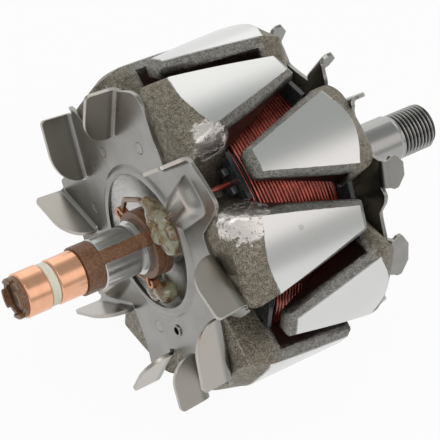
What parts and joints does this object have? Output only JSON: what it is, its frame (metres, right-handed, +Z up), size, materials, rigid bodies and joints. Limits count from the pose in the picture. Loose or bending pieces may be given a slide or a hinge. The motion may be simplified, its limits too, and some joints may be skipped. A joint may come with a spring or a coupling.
{
  "type": "generator rotor",
  "caption": "Claw-pole generator rotor: shaft with slip rings and threaded end, two interlocked claw poles round a red field winding, and a sheet-metal fan on each side.",
  "frame": {"origin": "on the shaft axis at the shoulder of the drive bearing seat, where the spacer ends", "axes": "+X along the shaft from the slip rings to the pulley thread, +Z up with one rear claw pointing up and one down"},
  "size_m": [0.1658, 0.112, 0.112],
  "materials": {
    "shaft_steel": "ground bright",
    "pole_iron": "forged, turned outside",
    "core_iron": "turned",
    "bobbin_plastic": "moulded",
    "enamelled_wire": "red enamel over copper",
    "slip_ring_copper": "turned copper",
    "cream_plastic": "moulded",
    "brown_plastic": "moulded",
    "terminal_copper": "oxidised copper",
    "set_varnish": "set varnish",
    "fan_steel": "rolled sheet",
    "spacer_steel": "turned"
  },
  "bodies": {
    "root": {"shaft": "shaft_steel", "rear_claw_pole": "pole_iron", "drive_claw_pole": "pole_iron", "pole_core": "core_iron", "bobbin": "bobbin_plastic", "field_winding": "enamelled_wire", "winding_lead_a": "enamelled_wire", "winding_lead_b": "enamelled_wire", "outer_slip_ring": "slip_ring_copper", "inner_slip_ring": "slip_ring_copper", "insulating_ring": "cream_plastic", "slip_ring_moulding": "brown_plastic", "terminal_a": "terminal_copper", "terminal_b": "terminal_copper", "varnish_bead_a": "set_varnish", "varnish_bead_b": "set_varnish", "rear_fan": "fan_steel", "drive_fan": "fan_steel", "drive_spacer": "spacer_steel"}
  },
  "joints": []
}
